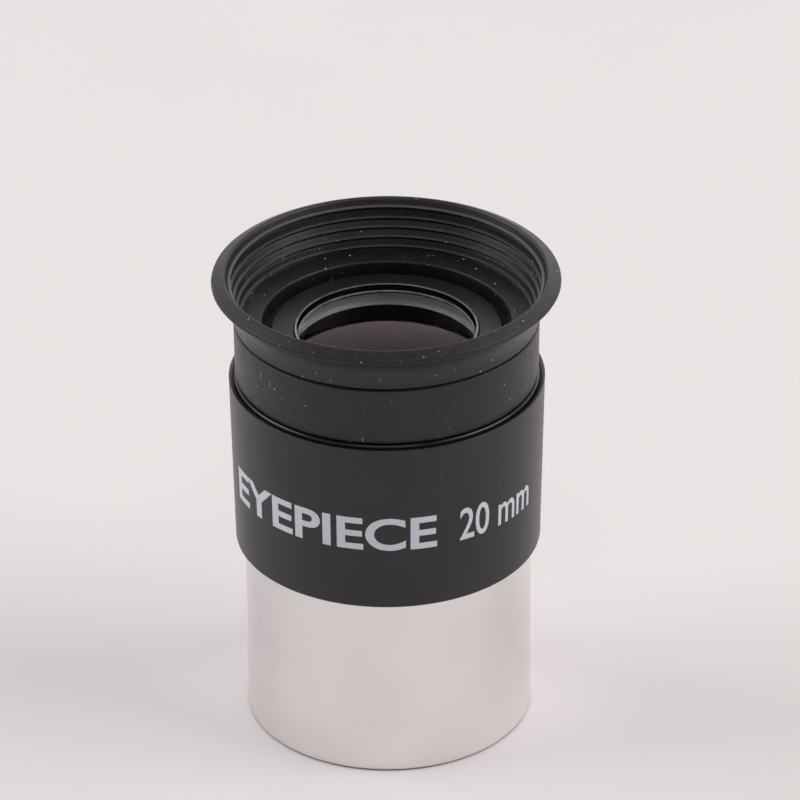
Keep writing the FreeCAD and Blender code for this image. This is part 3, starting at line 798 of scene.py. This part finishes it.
def wmath(op, a, b=None, clamp=False):
    n = wt.nodes.new("ShaderNodeMath")
    n.operation = op
    n.use_clamp = clamp
    for i, x in enumerate((a, b)):
        if x is None:
            continue
        if isinstance(x, (int, float)):
            n.inputs[i].default_value = x
        else:
            wt.links.new(x, n.inputs[i])
    return n.outputs[0]


def wstep(v, lo, hi, to_lo, to_hi):
    n = wt.nodes.new("ShaderNodeMapRange")
    n.interpolation_type = "SMOOTHSTEP"
    for key, val in (("From Min", lo), ("From Max", hi), ("To Min", to_lo), ("To Max", to_hi)):
        n.inputs[key].default_value = val
    wt.links.new(v, n.inputs["Value"])
    return n.outputs["Result"]


def wpatch(direction, inner_deg, outer_deg, level):
    """A round soft box on the sky: level inside inner_deg, nothing beyond outer_deg."""
    n = wt.nodes.new("ShaderNodeVectorMath")
    n.operation = "DOT_PRODUCT"
    n.inputs[1].default_value = Vector(direction).normalized()
    wt.links.new(wc.outputs["Generated"], n.inputs[0])
    return wstep(n.outputs["Value"], math.cos(math.radians(outer_deg)), math.cos(math.radians(inner_deg)), 0.0, level)


wsep = wt.nodes.new("ShaderNodeSeparateXYZ")
wt.links.new(wc.outputs["Generated"], wsep.inputs[0])
wx, wy, wz = wsep.outputs
# pale walls to about 50 degrees up, dim ceiling
sky = wstep(wz, 0.45, 0.88, WALL, CEILING)
# the side the camera stands on is darker above the table
sky = wmath("MULTIPLY", sky, wstep(wy, -0.75, 0.1, FRONT, 1.0))
for patch in PATCHES:
    sky = wmath("ADD", sky, wpatch(*patch))
wt.links.new(sky, bg.inputs["Strength"])
bg.inputs["Color"].default_value = (1.0, 0.965, 0.96, 1.0)

for name, direction, dist, width, height, radiance in SOFTBOXES:
    ld = bpy.data.lights.new(name, "AREA")
    ld.shape = "RECTANGLE"
    ld.size, ld.size_y = width, height
    ld.energy = radiance * math.pi * width * height
    ld.color = (1.0, 0.975, 0.97)
    lo = bpy.data.objects.new(name, ld)
    d = Vector(direction).normalized()
    lo.location = d * dist + Vector((0, 0, 0.04))
    lo.rotation_euler = (-d).to_track_quat("-Z", "Y").to_euler()
    scene.collection.objects.link(lo)

# camera
Dh, Zc, th, psi, rho, f_px = 0.5610, 0.3552, math.radians(29.469), math.radians(-0.1445), math.radians(-0.3813), 5867.0
right = Vector((math.cos(psi), math.sin(psi), 0))
ahead_h = Vector((-math.sin(psi), math.cos(psi), 0))
ahead = math.cos(th) * ahead_h - math.sin(th) * Vector((0, 0, 1))
up = math.sin(th) * ahead_h + math.cos(th) * Vector((0, 0, 1))
cr, sr = math.cos(rho), math.sin(rho)
cam_x = cr * right + sr * up
cam_y = -sr * right + cr * up
cam_z = -ahead
cam_data = bpy.data.cameras.new("camera")
cam_data.sensor_width = 36.0
cam_data.lens = f_px / 800.0 * 36.0
cam_data.clip_start, cam_data.clip_end = 0.01, 20.0
cam = bpy.data.objects.new("camera", cam_data)
cam.matrix_world = Matrix((
    (cam_x.x, cam_y.x, cam_z.x, 0.0),
    (cam_x.y, cam_y.y, cam_z.y, -Dh),
    (cam_x.z, cam_y.z, cam_z.z, Zc),
    (0, 0, 0, 1)))
scene.collection.objects.link(cam)
scene.camera = cam
scene.view_settings.view_transform = "Standard"
